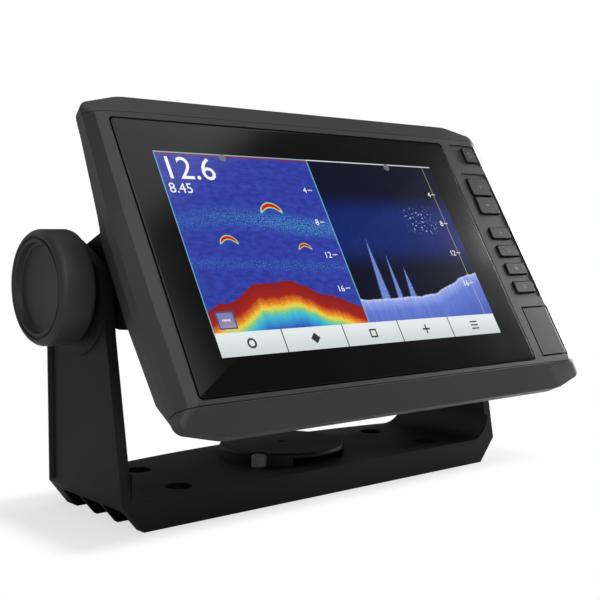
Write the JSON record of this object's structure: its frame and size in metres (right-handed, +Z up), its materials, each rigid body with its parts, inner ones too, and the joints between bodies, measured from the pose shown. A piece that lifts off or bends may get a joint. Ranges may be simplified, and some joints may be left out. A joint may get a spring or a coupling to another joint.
{
  "type": "fish finder",
  "caption": "Marine fish finder: wide glass display with side keys and a card door, docked in a cradle that tilts between the arms of a U-shaped bail bracket with clamp knobs.",
  "frame": {"origin": "on the floor under the middle of the bracket base, midway between the arms", "axes": "+X to the right as seen from the front, +Y to the back, +Z up; the screen faces -Y and leans back 30.5 degrees at rest"},
  "size_m": [0.2476, 0.1223, 0.1676],
  "materials": {
    "case_plastic": "fine satin texture",
    "trim_plastic": "satin",
    "bracket_plastic": "fine matte texture",
    "knob_plastic": "satin",
    "key_plastic": "satin",
    "screen_glass": "gloss over a lit display",
    "panel_glass": "gloss",
    "dark_rubber": "matte",
    "socket_plastic": "matte",
    "white_plastic": "matte",
    "grey_plastic": "satin",
    "circuit_board": "satin",
    "steel": "brushed",
    "brass": "satin",
    "aluminium": "satin",
    "ceramic": "matte"
  },
  "bodies": {
    "bracket": {"bail_bracket": "bracket_plastic", "hub_plug": "grey_plastic"},
    "left_knob": {"left_knob_grip": "knob_plastic", "left_knob_bolt": "steel", "left_knob_washer": "steel"},
    "right_knob": {"right_knob_grip": "knob_plastic", "right_knob_bolt": "steel", "right_knob_washer": "steel"},
    "head": {"front_bezel": "case_plastic", "top_trim_cap": "trim_plastic", "bottom_trim_cap": "trim_plastic", "screen_glass": "screen_glass", "glass_gasket": "dark_rubber", "lcd_panel": "panel_glass", "backlight_unit": "white_plastic", "display_chassis": "steel", "chassis_screws": "steel", "keypad_membrane": "dark_rubber", "key_switches": "steel", "keypad_board": "circuit_board", "keypad_screws": "steel", "card_door_pin": "steel", "card_reader": "steel", "housing_seal": "dark_rubber", "rear_cover": "case_plastic", "housing_screws": "steel", "main_board": "circuit_board", "board_standoffs": "brass", "board_screws": "steel", "processor_shield": "steel", "heat_spreader": "aluminium", "position_antenna": "ceramic", "buzzer": "socket_plastic", "link_connector": "socket_plastic", "head_contact_block": "socket_plastic", "cradle_contact_block": "socket_plastic", "contact_pins": "brass", "cradle_body": "bracket_plastic", "ear_inserts": "brass", "ear_washers": "dark_rubber", "latch_pin": "steel", "latch_spring": "steel", "power_socket": "socket_plastic", "sonar_socket": "socket_plastic"},
    "latch": {"release_latch": "trim_plastic"},
    "door": {"card_door": "key_plastic"},
    "power_key": {"power_key": "key_plastic"},
    "zoom_in_key": {"zoom_in_key": "key_plastic"},
    "zoom_out_key": {"zoom_out_key": "key_plastic"},
    "menu_key_1": {"menu_key_1": "key_plastic"},
    "menu_key_2": {"menu_key_2": "key_plastic"},
    "menu_key_3": {"menu_key_3": "key_plastic"},
    "menu_key_4": {"menu_key_4": "key_plastic"}
  },
  "joints": [
    {"name": "head_tilt", "type": "hinge", "parent": "bracket", "child": "head", "pos_m": [0, 0.0069, 0.0929], "axis": [1, 0, 0], "range_deg": [-55, 24]},
    {"name": "left_knob_turn", "type": "hinge", "parent": "bracket", "child": "left_knob", "pos_m": [0, 0.0069, 0.0929], "axis": [-1, 0, 0], "range_deg": [0, 720]},
    {"name": "right_knob_turn", "type": "hinge", "parent": "bracket", "child": "right_knob", "pos_m": [0, 0.0069, 0.0929], "axis": [1, 0, 0], "range_deg": [0, 720]},
    {"name": "latch_press", "type": "hinge", "parent": "head", "child": "latch", "pos_m": [0, 0.01907, 0.12577], "axis": [-1, 0, 0], "range_deg": [0, 11], "stiffness_Nm_per_rad": 0.3, "springref_deg": -8.59},
    {"name": "card_door_swing", "type": "hinge", "parent": "head", "child": "door", "pos_m": [0.1041, -0.06706, 0.06822], "axis": [0, 0.5075, 0.8616], "range_deg": [0, 100]},
    {"name": "power_key_press", "type": "slide", "parent": "head", "child": "power_key", "axis": [0, 0.8616, -0.5075], "range_m": [0, 0.0008], "stiffness_N_per_m": 2000, "springref_m": -0.0004},
    {"name": "zoom_in_key_press", "type": "slide", "parent": "head", "child": "zoom_in_key", "axis": [0, 0.8616, -0.5075], "range_m": [0, 0.0008], "stiffness_N_per_m": 2000, "springref_m": -0.0004},
    {"name": "zoom_out_key_press", "type": "slide", "parent": "head", "child": "zoom_out_key", "axis": [0, 0.8616, -0.5075], "range_m": [0, 0.0008], "stiffness_N_per_m": 2000, "springref_m": -0.0004},
    {"name": "menu_key_1_press", "type": "slide", "parent": "head", "child": "menu_key_1", "axis": [0, 0.8616, -0.5075], "range_m": [0, 0.0008], "stiffness_N_per_m": 2000, "springref_m": -0.0004},
    {"name": "menu_key_2_press", "type": "slide", "parent": "head", "child": "menu_key_2", "axis": [0, 0.8616, -0.5075], "range_m": [0, 0.0008], "stiffness_N_per_m": 2000, "springref_m": -0.0004},
    {"name": "menu_key_3_press", "type": "slide", "parent": "head", "child": "menu_key_3", "axis": [0, 0.8616, -0.5075], "range_m": [0, 0.0008], "stiffness_N_per_m": 2000, "springref_m": -0.0004},
    {"name": "menu_key_4_press", "type": "slide", "parent": "head", "child": "menu_key_4", "axis": [0, 0.8616, -0.5075], "range_m": [0, 0.0008], "stiffness_N_per_m": 2000, "springref_m": -0.0004}
  ]
}
